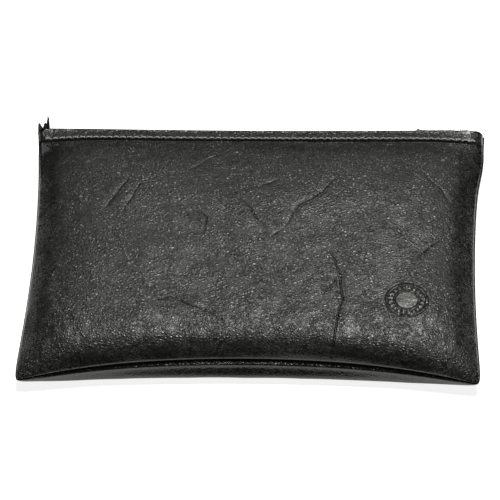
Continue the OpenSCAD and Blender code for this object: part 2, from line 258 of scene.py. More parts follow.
def pressed_mark(x, y):
    """A plain coin pressed into the leather: two rings with short milling strokes between."""
    r = np.hypot(x - mark_x, y - mark_y)
    turn = np.arctan2(y - mark_y, x - mark_x)
    rings = sum(np.exp(-((r - share * mark_r) / wide) ** 4)
                for share, wide in ((1, 0.75 * MM), (0.62, 0.6 * MM)))
    strokes = ease(2.2 * np.cos(20 * turn) - 0.7)
    strokes = strokes * np.exp(-((r - 0.81 * mark_r) / (0.95 * MM)) ** 4)
    rim = 0.22 * np.exp(-((r - mark_r - 1.5 * MM) / (0.8 * MM)) ** 2)
    return mark_depth * (rim - np.clip(rings + 0.8 * strokes, 0, 1))


def hem_swell(x, edge):
    """Height of the hem over the single layer, by the distance from the folded edge."""
    holes = 0.75 - 0.25 * np.cos(2 * math.pi * x / stitch_pitch)
    top = hem_rise * ease((hem_w + 0.5 * MM - edge) / (0.8 * MM))
    top -= (hem_rise - edge_rise) * (1 - ease(edge / (6 * MM)))
    puff = 0.06 * MM * np.clip(np.sin(math.pi * edge / stitch_in), 0, 1)
    sewn = 0.25 * MM * holes * np.exp(-((edge - stitch_in) / (0.6 * MM)) ** 2)
    below = 0.3 * MM * np.exp(-((edge - hem_w - 0.8 * MM) / (0.5 * MM)) ** 2)
    return top + puff * (edge < stitch_in) - sewn - below


def rim_of(rows, cols, first=0):
    """Indices round a grid's rim: along the first row, up, back along the last row, down."""
    number = first + np.arange(rows * cols).reshape(rows, cols)
    return np.concatenate([number[0], number[1:, -1], number[-1, -2::-1], number[-2::-1, 0]])


def zip_rims(points, a, b):
    """Triangles between two rims that start at the same corner."""
    faces = []
    i = j = 0
    while i < len(a) - 1 or j < len(b) - 1:
        step_a = step_b = np.inf
        if i < len(a) - 1:
            step_a = np.linalg.norm(points[a[i + 1]] - points[b[j]])
        if j < len(b) - 1:
            step_b = np.linalg.norm(points[a[i]] - points[b[j + 1]])
        if step_a <= step_b:
            faces.append((a[i], a[i + 1], b[j]))
            i += 1
        else:
            faces.append((a[i], b[j + 1], b[j]))
            j += 1
    return faces


def grid_faces(rows, cols, first=0):
    number = first + np.arange(rows * cols).reshape(rows, cols)
    corners = [number[:-1, :-1], number[:-1, 1:], number[1:, 1:], number[1:, :-1]]
    return np.stack(corners, -1).reshape(-1, 4).tolist()


def finished(name, mesh, sharp, material=None):
    """A piece from a mesh: smooth, but crisp where faces meet at more than an angle."""
    mesh.name = name
    mesh.shade_smooth()
    mesh.set_sharp_from_angle(angle=math.radians(sharp))
    if material:
        mesh.materials.clear()
        mesh.materials.append(material)
    return add_object(name, mesh)


def make_object(name, points, faces, material, sharp=40):
    """A closed mesh with its faces outwards and its corners kept crisp."""
    mesh = bpy.data.meshes.new(name)
    mesh.from_pydata([tuple(p) for p in points], [], [tuple(int(i) for i in f) for f in faces])
    work = bmesh.new()
    work.from_mesh(mesh)
    bmesh.ops.recalc_face_normals(work, faces=work.faces)
    if work.calc_volume(signed=True) < 0:
        bmesh.ops.reverse_faces(work, faces=work.faces)
    work.to_mesh(mesh)
    work.free()
    return finished(name, mesh, sharp, material)


def make_shell(name, outer, inner, material):
    """A closed sheet with an outer and an inner grid of points, joined round their rims."""
    points = np.concatenate([outer.reshape(-1, 3), inner.reshape(-1, 3)])
    first = outer.shape[0] * outer.shape[1]
    faces = grid_faces(*outer.shape[:2]) + grid_faces(*inner.shape[:2], first)
    faces += zip_rims(points, rim_of(*outer.shape[:2]), rim_of(*inner.shape[:2], first))
    return make_object(name, points, faces, material)


def add_layer(piece, name, values):
    """A number for each point of a piece, for its material to read."""
    layer = piece.data.attributes.new(name, "FLOAT", "POINT")
    layer.data.foreach_set("value", np.asarray(values, np.float32))


class Wire:
    """The output of a node, for use in formulas."""

    def __init__(self, tree, socket):
        self.tree = tree
        self.socket = socket

    def maths(self, operation, *values):
        return self.tree.add("ShaderNodeMath", {"operation": operation}, dict(enumerate(values)))

    def sine(self):
        return self.maths("SINE", self)

    def absolute(self):
        return self.maths("ABSOLUTE", self)

    def __add__(self, other):
        return self.maths("ADD", self, other)

    def __sub__(self, other):
        return self.maths("SUBTRACT", self, other)

    def __rsub__(self, other):
        return self.maths("SUBTRACT", other, self)

    def __mul__(self, other):
        return self.maths("MULTIPLY", self, other)

    __radd__ = __add__
    __rmul__ = __mul__


class Tree:
    """A node tree that grows by one node at a time."""

    def __init__(self, tree):
        self.tree = tree

    def add(self, kind, settings=None, sockets=None, out=0):
        """Adds a node, sets its settings and then its sockets, and gives one of its outputs."""
        node = self.tree.nodes.new(kind)
        for key, value in (settings or {}).items():
            setattr(node, key, value)
        for key, value in (sockets or {}).items():
            if isinstance(value, Wire):
                self.tree.links.new(value.socket, node.inputs[key])
            else:
                node.inputs[key].default_value = value
        return Wire(self, node.outputs[out])

    def colours(self, share, a, b):
        """A colour between two, by a share from 0 to 1."""
        return self.add("ShaderNodeMix", {"data_type": "RGBA"},
                        {0: share, 6: (*a, 1), 7: (*b, 1)}, 2)

    def ramp(self, value, low, high):
        """0 under low, 1 over high, smooth between."""
        return self.add("ShaderNodeMapRange", {"interpolation_type": "SMOOTHSTEP"},
                        {0: value, 1: low, 2: high})

    def parts(self, vector):
        """The three numbers of a vector."""
        split = self.add("ShaderNodeSeparateXYZ", None, {0: vector}).socket.node
        return [Wire(self, part) for part in split.outputs]


class Finish(Tree):
    """A material. Even values go on its shader's own sockets, and varying ones are linked."""

    def __init__(self, name, **even):
        self.material = bpy.data.materials.new(name)
        self.material.use_nodes = True
        super().__init__(self.material.node_tree)
        self.shader = self.tree.nodes["Principled BSDF"]
        for key, value in even.items():
            self.shader.inputs[key.replace("_", " ")].default_value = value

    def put(self, socket, wire):
        self.tree.links.new(wire.socket, self.shader.inputs[socket])

    def dress(self, height, depth, shade, dark, light, rough):
        """Gives the shader its relief, its colour and its roughness, and gives the material."""
        self.put("Normal", self.add("ShaderNodeBump", None,
                                    {"Strength": 1.0, "Distance": depth, "Height": height}))
        self.put("Base Color", self.colours(shade, dark, light))
        self.put("Roughness", rough)
        return self.material

    def place(self, space="Object"):
        return self.add("ShaderNodeTexCoord", out=space)

    def noise(self, place, size, detail=2.0):
        """Random clouds of a size in metres."""
        return self.add("ShaderNodeTexNoise", None,
                        {"Vector": place, "Scale": 1 / size, "Detail": detail, "Roughness": 0.55})

    def pebbles(self, place, size, slope):
        """Rounded cells of a size in metres, 0 in the gaps between them and 1 on top."""
        cells = self.add("ShaderNodeTexVoronoi", {"feature": "DISTANCE_TO_EDGE"},
                         {"Vector": place, "Scale": 1 / size})
        return self.ramp(cells, 0.0, slope)


def leatherette_finish():
    """Black embossed leatherette: pebbles 1.5 mm across in fine wrinkles, and sharp creases."""
    finish = Finish("leatherette", IOR=1.5, Specular_Tint=(1.0, 1.0, 0.94, 1.0))
    place = finish.place()
    sway = finish.add("ShaderNodeTexNoise", None,
                      {"Vector": place, "Scale": 1 / (5 * MM), "Detail": 3.0}, "Color")
    bent = finish.add("ShaderNodeVectorMath", {"operation": "MULTIPLY_ADD"},
                      {0: sway, 1: (2.2 * MM,) * 3, 2: place})
    pebble = finish.pebbles(bent, 1.5 * MM, 0.42)
    small = finish.pebbles(bent, 0.62 * MM, 0.25)
    wrinkle = finish.noise(bent, 2.6 * MM, 3.0)
    valley = finish.ramp((wrinkle - 0.5).absolute(), 0.0, 0.05)
    clouds = finish.noise(place, 30 * MM, 3.0)
    edge, taut_and_painted_shade, gap, depth, pressed = [
        finish.add("ShaderNodeAttribute", {"attribute_name": name}, None, "Fac")
        for name in ("edge", "taut_and_painted_shade", "fold_gap", "fold_depth", "pressed")]
    groove = 1 - finish.ramp(gap.absolute(), 0.0, 0.9 * MM)
    patches = 0.6 + finish.ramp(finish.noise(place, 14 * MM, 2.0), 0.35, 0.6) * 0.5
    grain = (pebble * 0.75 + small * 0.06 + valley * 0.4 + wrinkle * 0.9) * patches
    grain = grain * (1 - taut_and_painted_shade * 0.75) * (1 - pressed * 0.75)
    # Colour share, painted light: pebble tops and wrinkle ridges are painted lighter as a painted highlight,
    # and crease grooves are painted darker as painted shade
    painted_light = pebble * 0.45 + valley * 0.35 + wrinkle * 0.5 - groove * depth
    # The taut rolls and sides, and the whole back, are painted darker still: painted shade in the colour
    shade = finish.ramp(painted_light, 0.5, 1.1) * (1 - taut_and_painted_shade * 0.8)
    rough = 0.52 - pebble * 0.2 - valley * 0.16 + clouds * 0.08 - edge * 0.16 - taut_and_painted_shade * 0.1
    return finish.dress(grain - groove * depth * 2.8, 0.22 * MM, shade,
                        (0.002, 0.002, 0.0019), (0.023, 0.023, 0.021), rough)


leatherette = leatherette_finish()
panel_step = 0.95 * MM
u_lines = lines_on(lambda t: front_at(t, 0.0), panel_step,
                   [(-1, 5 * MM, 1.2), (1, 5 * MM, 1.2), (mark_x / half_w, 11 * MM, 0.9)])
v_lines = lines_on(lambda t: front_at(0.0, t), panel_step,
                   [(-1, 6 * MM, 1.2), ((mark_y - mid_y) / half_d, 11 * MM, 0.9),
                    (hem_v, 2.5 * MM, 1.6), (1, 2 * MM, 0.6)])
u_grid, v_grid = np.meshgrid(u_lines, v_lines)
front_skin = front_at(u_grid, v_grid)
x_grid, y_grid = front_skin[..., 0].copy(), front_skin[..., 1].copy()
over_seam = front_skin[..., 2] - seam_z(u_grid, v_grid)
hold = ease(over_seam / (5 * MM))
edge_grid = (1 - v_grid) * half_d
in_field = hold * ease((edge_grid - hem_w) / (8 * MM))
relief = drape(x_grid, y_grid) * hold * (0.25 + 0.75 * ease((edge_grid - hem_w) / (12 * MM)))
stray = (x_grid + 1.3 * MM * waves(x_grid, y_grid, 11 * MM, 5.5),
         y_grid + 1.3 * MM * waves(x_grid, y_grid, 11 * MM, 6.5))
no_fold = 9 * MM
fold_gap = np.full(x_grid.shape, no_fold)
fold_depth = np.zeros(x_grid.shape)
for line, width, depth in CREASES:
    gap, fade = crease(*stray, line)
    broad = 1.7 * width * MM
    relief -= 0.6 * depth * MM * fade * in_field * np.exp(-(gap / broad) ** 2)
    near_fold = ease((2.8 * MM - np.abs(gap)) / (1.2 * MM)) * fade * in_field * depth
    fold_gap = np.where(near_fold > fold_depth, gap, fold_gap)
    fold_depth = np.maximum(near_fold, fold_depth)
relief += 0.09 * MM * waves(x_grid, y_grid, 6 * MM, 17.5) * in_field
relief += pressed_mark(x_grid, y_grid)
pucker = waves(x_grid * 1.6, y_grid * 0.7, 6 * MM, 12.5)
relief += (0.35 * MM * pucker * np.exp(-((over_seam - 10 * MM) / (4 * MM)) ** 2)
           * (v_grid < -0.5) * hold)
front_skin += facing(front_skin) * relief[..., None]
front_skin[..., 2] += hem_swell(x_grid, edge_grid) * off_corners(u_grid) * (v_grid > 0)
fold_r = (skin_t + edge_rise) / 2
fold_turns = np.linspace(math.pi / 2, -math.pi / 2, 9)[1:-1]
flap_v = np.linspace(1.0, hem_v, 5)


def turned_hem(skin, surface, u, side):
    """A panel's skin with its hem turned in, side +1 front and -1 back."""
    rise = side * (edge_rise - fold_r)
    middle = surface(u, 1.0) + [0, 0, rise]
    fold = np.stack([middle + xyz(0, fold_r * math.cos(t),
                                  side * fold_r * math.sin(t) * off_corners(u))
                     for t in fold_turns])
    fold[..., 2] -= rise * np.abs(u) ** 60
    return np.concatenate([skin, fold, surface(*np.meshgrid(u, flap_v), skin_t)])


def panel_layer(piece, name, skin, folded=0.0, hidden=0.0):
    """A number for each point of a panel: on its skin, round its fold, and out of sight."""
    values = np.full(len(piece.data.vertices), hidden)
    values[:skin.size] = skin.ravel()
    values[skin.size:skin.size + len(fold_turns) * skin.shape[1]] = folded
    add_layer(piece, name, values)


inner_v = np.append(v_lines[v_lines < hem_v][::3], hem_v)
front_inner = front_at(*np.meshgrid(u_lines[::3], inner_v), skin_t)
inner_x, inner_y = front_inner[..., 0], front_inner[..., 1]
front_inner[..., 2] += drape(inner_x, inner_y) * ease((front_inner[..., 2] - seam_h) / (8 * MM))
front = make_shell("front_leather", turned_hem(front_skin, front_at, u_lines, 1), front_inner,
                   leatherette)
panel_layer(front, "edge", np.clip(1 - np.minimum(over_seam, edge_grid) / (2.5 * MM), 0, 1), 1.0)
# Taut where the leatherette rolls into the base seam and down the sides: finer grain there, and painted
# shade that darkens its colour
base_taut_and_shade = ease((-v_grid - 0.915) / 0.06) * (1 - ease((np.abs(u_grid) - 0.6) / 0.35))
side_taut_and_shade = 0.7 * ease((np.abs(u_grid) - 0.86) / 0.07) * ease((v_grid + 0.9) / 0.3)
panel_layer(front, "taut_and_painted_shade", np.maximum(base_taut_and_shade, side_taut_and_shade))
panel_layer(front, "pressed", ease(
    (mark_r + 0.8 * MM - np.hypot(x_grid - mark_x, y_grid - mark_y)) / MM))
panel_layer(front, "fold_gap", fold_gap, no_fold, no_fold)
panel_layer(front, "fold_depth", fold_depth)

lip_joint = next(j for j in frame["joints"] if j["name"] == "lip_hinge")
hinge_y, hinge_z = lip_joint["pos_m"][1], lip_joint["pos_m"][2]
lens_half = 119 * MM
bend_half = 16 * MM


def follow_lip(piece):
    """The front bends open round the lip's hinge, most at its middle and not at the zip's ends."""
    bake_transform(piece, "bag", "lip", start=(0, hinge_y - bend_half, hinge_z),
             end=(0, hinge_y + bend_half, hinge_z))
    count = len(piece.data.vertices)
    points = np.empty(count * 3)
    piece.data.vertices.foreach_get("co", points)
    layer = piece.data.attributes["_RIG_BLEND"]
    share = np.empty(count)
    layer.data.foreach_get("value", share)
    lens_share = np.clip(1 - (points[::3] / lens_half) ** 2, 0, 1) ** 1.3
    layer.data.foreach_set("value", (share * lens_share).astype(np.float32))


def cut_size(curve_u, curve_v):
    """The size of the flat cut that a panel was made from, along its two middle lines."""
    return tuple(float(run_along(curve(np.linspace(-1, 1, 801)))[-1])
                 for curve in (curve_u, curve_v))


front_cut = cut_size(lambda t: front_at(t, 0.0), lambda t: front_at(0.0, t))
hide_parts("front_panel", "mouth_lip")
follow_lip(front)

# ---- back panel ----
# The second cut of the same leatherette, which lies on the table. It is flat underneath,
# rises to the zip, and rolls up into the seam round its other three sides.
flattening = 1.2 * MM
back_drop = seam_h + flattening
rest_blend = 0.6 * MM
ledge, base_flare = 2 * MM, 6.5 * MM


def back_at(u, v, depth=0.0):
    """A point of the back, at a depth inside its outer face."""
    u, v = np.broadcast_arrays(u, v)
    side = np.sqrt(np.clip(1 - np.abs(u) ** 8, 0, 1))
    run = np.where(v < 0, np.sqrt(np.clip(1 - np.abs(v) ** 12, 0, 1)),
                   np.clip(1 - np.abs(v) ** 6, 0, 1) ** 0.8)
    x, y = plan(u, v, depth + tuck(back_drop * side),
                depth + np.where(v < 0, tuck(back_drop * run), 0))
    fall = (back_drop - depth) * side * run + (zip_half - depth) * zip_lift(u, v)
    out = ledge * ease((fall - 0.7 * MM) / (1.2 * MM))
    out += base_flare * ease((fall - 2 * MM) / (8 * MM))
    y = y - np.where(v < 0, out * (1 - u ** 2) * v ** 2, 0)
    over = seam_z(u, v) - fall - depth
    near = (np.clip(over + rest_blend, 0, 2 * rest_blend)) ** 2 / (4 * rest_blend)
    return xyz(x, y, depth + np.where(over > rest_blend, over, near))


back_u = lines_on(lambda t: back_at(t, 0.0), 1.7 * MM, [(-1, 12 * MM, 1.4), (1, 12 * MM, 1.4)])
back_v = lines_on(lambda t: back_at(0.0, t), 1.7 * MM,
                  [(-1, 12 * MM, 2.4), (hem_v, 3 * MM, 2.5), (1, 2 * MM, 1)])
ub_grid, vb_grid = np.meshgrid(back_u, back_v)
back_skin = back_at(ub_grid, vb_grid)
xb_grid, yb_grid = back_skin[..., 0].copy(), back_skin[..., 1].copy()
under_seam = seam_z(ub_grid, vb_grid) - back_skin[..., 2]
back_edge = (1 - vb_grid) * half_d
hollows = 0.5 * MM * np.abs(waves(xb_grid, yb_grid, 30 * MM, 21.0)) * ease(under_seam / (6 * MM))
back_skin += facing(back_skin) * hollows[..., None]
back_skin[..., 2] -= hem_swell(xb_grid, back_edge) * off_corners(ub_grid) * (vb_grid > 0)
back_skin[..., 2] = np.maximum(back_skin[..., 2], 0)
back_inner_v = np.append(back_v[back_v < hem_v][::3], hem_v)
back_inner = back_at(*np.meshgrid(back_u[::3], back_inner_v), skin_t)
back = make_shell("back_leather", turned_hem(back_skin, back_at, back_u, -1), back_inner,
                  leatherette)
add_layer(back, "fold_gap", np.full(len(back.data.vertices), no_fold))
# The whole back is smoothed and painted darker: painted shade in the colour
add_layer(back, "taut_and_painted_shade", np.full(len(back.data.vertices), 0.8))
panel_layer(back, "edge", np.clip(1 - np.minimum(under_seam, back_edge) / (2.5 * MM), 0, 1), 1.0)
back_cut = cut_size(lambda t: back_at(t, 0.0), lambda t: back_at(0.0, t))
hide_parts("back_panel")
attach(back, "bag")

# ---- lining ----
# Two cuts of thin grey woven cloth inside the leatherette. They are sewn into the seam on
# three sides and end under the turned-in hem at the zip.
lining_in = 1.3 * MM
lining_t = 0.4 * MM


def woven_finish(name, dark, light, pitch, rough):
    """Plain weave: threads over and under each other at a pitch, with a little fluff."""
    finish = Finish(name, Sheen_Weight=0.25, Sheen_Roughness=0.5)
    place = finish.place()
    wander = finish.noise(place, 9 * pitch, 2.0) * 1.4
    warp, weft = [(axis * (2 * math.pi / pitch) + wander).sine()
                  for axis in finish.parts(place)[:2]]
    weave = warp * weft * 0.5 + 0.5
    fluff = finish.noise(place, 0.8 * pitch, 3.0)
    return finish.dress(weave * 0.8 + fluff * 0.4, 0.35 * pitch, weave * 0.7 + fluff * 0.3,
                        dark, light, rough - weave * 0.1 + fluff * 0.1)


lining_cloth = woven_finish("lining_cloth", (0.010, 0.010, 0.011), (0.035, 0.035, 0.038),
                            0.55 * MM, 0.75)
lining_step = 2.4 * MM


def make_lining(name, surface, shared, sign):
    """One side of the lining, just inside the leatherette."""
    crowded = [(-1, 8 * MM, 1), (1, 8 * MM, 1)]
    u = lines_on(lambda t: surface(t, 0.0, lining_in), lining_step, crowded)
    v = lines_on(lambda t: surface(0.0, t, lining_in), lining_step, crowded[:1])
    v = np.append(v[v < hem_v - 0.005], hem_v)
    grid = np.meshgrid(u, v)
    sides = []
    for depth in (lining_in, lining_in + lining_t):
        side = surface(*grid, depth)
        x, y = side[..., 0].copy(), side[..., 1].copy()
        free = ease(np.abs(side[..., 2] - seam_h) / (8 * MM))
        slack = 0.5 * MM * (0.5 + waves(x, y, 14 * MM, 31.0)) * ease((hem_v - grid[1]) / 0.1)
        side[..., 2] += (shared(x, y) - sign * np.clip(slack, 0, None)) * free
        sides.append(side)
    return make_shell(name, sides[0], sides[1], lining_cloth)


def lining_cut(surface):
    """The flat size of one side of the lining, which stops short of the zip by the hem."""
    wide, deep = cut_size(lambda t: surface(t, 0.0, lining_in),
                          lambda t: surface(0.0, t, lining_in))
    return wide, deep - hem_w


front_lining = make_lining("front_lining_cloth", front_at, drape, 1)
lining_cut(front_at)
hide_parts("front_lining", "mouth_lip_lining")
follow_lip(front_lining)

back_lining = make_lining("back_lining_cloth", back_at, lambda x, y: 0 * x, -1)
lining_cut(back_at)
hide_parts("back_lining")
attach(back_lining, "bag")

# ---- bound seam ----
# Inside, the raw edges of both panels and both linings are wrapped in a narrow woven
# binding, and one row of stitches goes through all of it along three sides.
binding_in = 2.2 * MM
binding_w = 6 * MM
binding_t = 1.6 * MM
seam_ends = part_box("seam_binding")[1].y
thread_d = 0.8 * MM


def seam_path(step, start_v):
    """Points (u, v) down the left side, along the base and up the right side."""
    side = np.linspace(start_v, -1, int(2 * half_d / step))
    base = np.linspace(-1, 1, int(2 * half_w / step))
    return np.concatenate([np.stack([-np.ones_like(side), side], -1),
                           np.stack([base, -np.ones_like(base)], -1)[1:-1],
                           np.stack([np.ones_like(side), side[::-1]], -1)])


def on_seam(path, inset, height):
    """Points in from the seam and over it, along a path."""
    x, y = plan(path[:, 0], path[:, 1], inset, inset)
    return xyz(x, y, seam_z(path[:, 0], path[:, 1]) + height)


def squarish(value, power):
    """A sine or cosine made fuller, for a section between a circle and a rectangle."""
    return np.sign(value) * abs(value) ** power


def make_tube(name, rings, material, sharp=60):
    """A closed bar through a list of rings of points."""
    count, sides = rings.shape[:2]
    faces = []
    for i in range(count - 1):
        for k in range(sides):
            n = (k + 1) % sides
            faces.append((i * sides + k, i * sides + n, (i + 1) * sides + n, (i + 1) * sides + k))
    faces += [tuple(range(sides)), tuple(range((count - 1) * sides, count * sides))]
    return make_object(name, rings.reshape(-1, 3), faces, material, sharp)


binding_cloth = woven_finish("binding_cloth", (0.008, 0.008, 0.009), (0.03, 0.03, 0.032),
                             0.7 * MM, 0.7)
path = seam_path(3 * MM, (seam_ends - mid_y) / half_d)
ring_turns = np.linspace(0, 2 * math.pi, 16, endpoint=False)
binding_rings = np.stack([on_seam(
    path, binding_in + binding_w / 2 * (1 + squarish(math.cos(t), 0.5)),
    binding_t / 2 * squarish(math.sin(t), 0.6)) for t in ring_turns], 1)
binding = make_tube("seam_binding_tape", binding_rings, binding_cloth)
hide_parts("seam_binding")
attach(binding, "bag")


class Grower(Tree):
    """A Geometry Nodes tree that copies a shape onto points."""

    def __init__(self, name, inputs):
        super().__init__(bpy.data.node_groups.new(name, "GeometryNodeTree"))
        for label, kind in {"Geometry": "Geometry", **inputs}.items():
            self.tree.interface.new_socket(label, in_out="INPUT", socket_type="NodeSocket" + kind)
        self.tree.interface.new_socket("Geometry", in_out="OUTPUT",
                                       socket_type="NodeSocketGeometry")
        given = self.add("NodeGroupInput").socket.node.outputs
        self.given = [Wire(self, given[k]) for k in range(len(inputs) + 1)]

    def vector(self, *parts):
        return self.add("ShaderNodeCombineXYZ", None, dict(enumerate(parts)))

    def named(self, label):
        return self.add("GeometryNodeInputNamedAttribute", {"data_type": "FLOAT_VECTOR"},
                        {"Name": label})

    def strayed(self, direction, spread, seed):
        """A direction with a random lean, of up to a spread along each axis."""
        lean_by = self.add("FunctionNodeRandomValue", {"data_type": "FLOAT_VECTOR"},
                           {0: tuple(-s for s in spread), 1: spread, "Seed": seed})
        return self.add("ShaderNodeVectorMath", {"operation": "ADD"}, {0: direction, 1: lean_by})

    def ring(self, corners, radius):
        return self.add("GeometryNodeCurvePrimitiveCircle", {"mode": "RADIUS"},
                        {"Resolution": corners, "Radius": radius})

    def bow(self, start, middle, end, steps, corners, thick):
        """A bent round bar with closed ends."""
        curve = self.add("GeometryNodeCurveQuadraticBezier", None,
                         {"Resolution": steps, "Start": start, "Middle": middle, "End": end})
        return self.add("GeometryNodeCurveToMesh", None,
                        {"Curve": curve, "Profile Curve": self.ring(corners, thick * 0.5),
                         "Fill Caps": True})

    def plant(self, shape, material, along, up=None, **more):
        """Copies a shape onto the points, with its X along one direction and its Z up another."""
        turn = self.add("FunctionNodeAlignRotationToVector", {"axis": "X"}, {"Vector": along})
        if up:
            turn = self.add("FunctionNodeAlignRotationToVector", {"axis": "Z", "pivot_axis": "X"},
                            {"Rotation": turn, "Vector": up})
        copies = self.add("GeometryNodeInstanceOnPoints", None,
                          {"Points": self.given[0], "Instance": shape, "Rotation": turn, **more})
        real = self.add("GeometryNodeRealizeInstances", None, {0: copies})
        painted = self.add("GeometryNodeSetMaterial", None,
                           {"Geometry": real, "Material": material})
        leave = self.tree.nodes.new("NodeGroupOutput")
        self.tree.links.new(painted.socket, leave.inputs[0])
        return self.tree


def stitch_tree():
    """One arched stitch of thread on every point, along `run` and proud of `facing`."""
    tree = Grower("thread_stitches", {
        "Stitch Length": "Float", "Thread Diameter": "Float", "Sink": "Float",
        "Seed": "Int", "Material": "Material"})
    length, thick, sink, seed, material = tree.given[1:]
    start, end = [tree.vector(length * share, 0.0, sink * -1) for share in (-0.5, 0.5)]
    stitch = tree.bow(start, tree.vector(0.0, 0.0, thick * 0.9 + sink), end, 6, 7, thick)
    return tree.plant(stitch, material, tree.strayed(tree.named("run"), (0.05,) * 3, seed),
                      tree.named("facing"))


def grow(name, tree, points, vectors, sizes):
    """Runs a Geometry Nodes tree on a set of points and keeps the result as a plain mesh."""
    seeds = bpy.data.meshes.new(name + "_points")
    seeds.from_pydata([tuple(p) for p in points], [], [])
    for label, values in vectors.items():
        layer = seeds.attributes.new(label, "FLOAT_VECTOR", "POINT")
        layer.data.foreach_set("vector", np.asarray(values, np.float32).ravel())
    carrier = add_object(name + "_points", seeds)
    modifier = carrier.modifiers.new("grow", "NODES")
    modifier.node_group = tree
    for item in tree.interface.items_tree:
        if item.item_type == "SOCKET" and item.in_out == "INPUT" and item.name in sizes:
            modifier[item.identifier] = sizes[item.name]
    carrier.update_tag()
    bpy.context.view_layer.update()
    result = carrier.evaluated_get(bpy.context.evaluated_depsgraph_get())
    mesh = bpy.data.meshes.new_from_object(result)
    bpy.data.objects.remove(carrier)
    return finished(name, mesh, 50)


def thread_finish(name, dark, light):
    """Polyester thread, twisted from plies that show as slanting ridges."""
    finish = Finish(name, Sheen_Weight=0.3, Sheen_Roughness=0.4)
    place = finish.place()
    x, y, z = finish.parts(place)
    ply = ((x + y * 0.9 + z * 0.9) * (2 * math.pi / (0.45 * MM))).sine() * 0.5 + 0.5
    fluff = finish.noise(place, 0.3 * MM, 3.0)
    return finish.dress(ply + fluff * 0.5, 0.08 * MM, ply * 0.6 + fluff * 0.4, dark, light,
                        0.6 + fluff * 0.2)


# The sewing thread's grey is a painted highlight: sheen on black thread painted into its colour
painted_highlight_thread = thread_finish("sewing_thread", (0.22, 0.22, 0.213), (0.5, 0.5, 0.485))
tack_thread = thread_finish("tack_thread", (0.01, 0.01, 0.01), (0.05, 0.05, 0.048))
stitches = stitch_tree()


def repeat(direction, count):
    return np.tile(np.array(direction, float), (count, 1))


def sew(name, centres, runs, up, length, seed, yarn=painted_highlight_thread):
    """A row of stitches, each at its centre, along its run and on the side that is up."""
    return grow(name, stitches, centres, {"run": runs, "facing": repeat(up, len(centres))},
                {"Stitch Length": length, "Thread Diameter": thread_d, "Sink": 0.4 * MM,
                 "Seed": seed, "Material": yarn})


seam_pitch = 6 * MM
seam_row = seam_path(0.5 * MM, 0.86)
seam_line = on_seam(seam_row, binding_in + binding_w / 2, binding_t / 2 + 0.15 * MM)
seam_run = run_along(seam_line)
stitch_at = np.arange(seam_pitch, seam_run[-1] - seam_pitch, seam_pitch)
seam_points, seam_ahead = [
    np.stack([np.interp(at, seam_run, seam_line[:, k]) for k in range(3)], -1)
    for at in (stitch_at, stitch_at + MM)]
seam_stitches = sew("seam_stitches", seam_points, (seam_ahead - seam_points) / MM,
                    [0, 0, 1], 4 * MM, 1)
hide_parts("seam_stitching")
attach(seam_stitches, "bag")

# ---- zip tapes ----
# Two woven nylon tapes. Each is sewn under its hem, leaves it at the folded edge and turns
# across the mouth to its row of teeth. At the left end a frayed stub stands out.
tape_t = 0.5 * MM
tape_depth = 1.55 * MM
tape_end = 0.966
row_low, row_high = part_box("back_teeth")[0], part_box("front_teeth")[1]
chain_y = (row_low.y + row_high.y) / 2
chain_z = (row_low.z + row_high.z) / 2
tape_edge = 1.5 * MM


def tape_middle(surface, u, side):
    """The middle of a tape, from under the hem to its free edge, side +1 front and -1 back."""
    rows = [surface(u, np.full_like(u, v), tape_depth)
            for v in (0.938, 0.955, 0.975, 0.99, 1.0)]
    start = rows[-1]
    end = xyz(start[:, 0], chain_y, chain_z + side * tape_edge)
    corner = xyz(start[:, 0], chain_y, start[:, 2])
    for t in np.linspace(0, 1, 13)[1:]:
        rows.append((1 - t) ** 2 * start + 2 * t * (1 - t) * corner + t ** 2 * end)
    return np.stack(rows)


def make_cloth_strip(name, middle, thick, material):
    """A strip of cloth round its middle surface, with a map of its own lengths."""
    out = facing(middle) * thick / 2
    piece = make_shell(name, middle + out, middle - out, material)
    run_u = run_along(middle[0])
    run_v = run_along(middle[:, middle.shape[1] // 2])
    lengths = np.tile(np.stack(np.meshgrid(run_u, run_v), -1).reshape(-1, 2), (2, 1))
    corner_points = np.empty(len(piece.data.loops), int)
    piece.data.loops.foreach_get("vertex_index", corner_points)
    layer = piece.data.uv_layers.new(name="cloth")
    layer.data.foreach_set("uv", lengths[corner_points].astype(np.float32).ravel())
    return piece


def tape_finish():
    """Black nylon zip tape: a fine herringbone weave."""
    finish = Finish("zip_tape", Sheen_Weight=0.2, Sheen_Roughness=0.5)
    u, v = finish.parts(finish.place("UV"))[:2]
    bands = v * (1 / (1.6 * MM))
    zigzag = bands.maths("PINGPONG", bands, 1.0)
    rib = ((u + zigzag * 1.6 * MM) * (2 * math.pi / (0.55 * MM))).sine() * 0.5 + 0.5
    fluff = finish.noise(finish.place(), 0.4 * MM, 3.0)
    return finish.dress(rib * 0.8 + fluff * 0.5, 0.15 * MM, rib * 0.6 + fluff * 0.4,
                        (0.006, 0.006, 0.006), (0.028, 0.028, 0.028),
                        0.75 - rib * 0.1 + fluff * 0.1)


zip_cloth = tape_finish()
tape_u = np.linspace(-tape_end, tape_end, 201)
front_tape = make_cloth_strip("front_tape_cloth", tape_middle(front_at, tape_u, 1), tape_t,
                              zip_cloth)
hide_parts("front_zip_tape", "lip_zip_tape")
follow_lip(front_tape)
back_tape = make_cloth_strip("back_tape_cloth", tape_middle(back_at, tape_u, -1), tape_t,
                             zip_cloth)
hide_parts("back_zip_tape")
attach(back_tape, "bag")

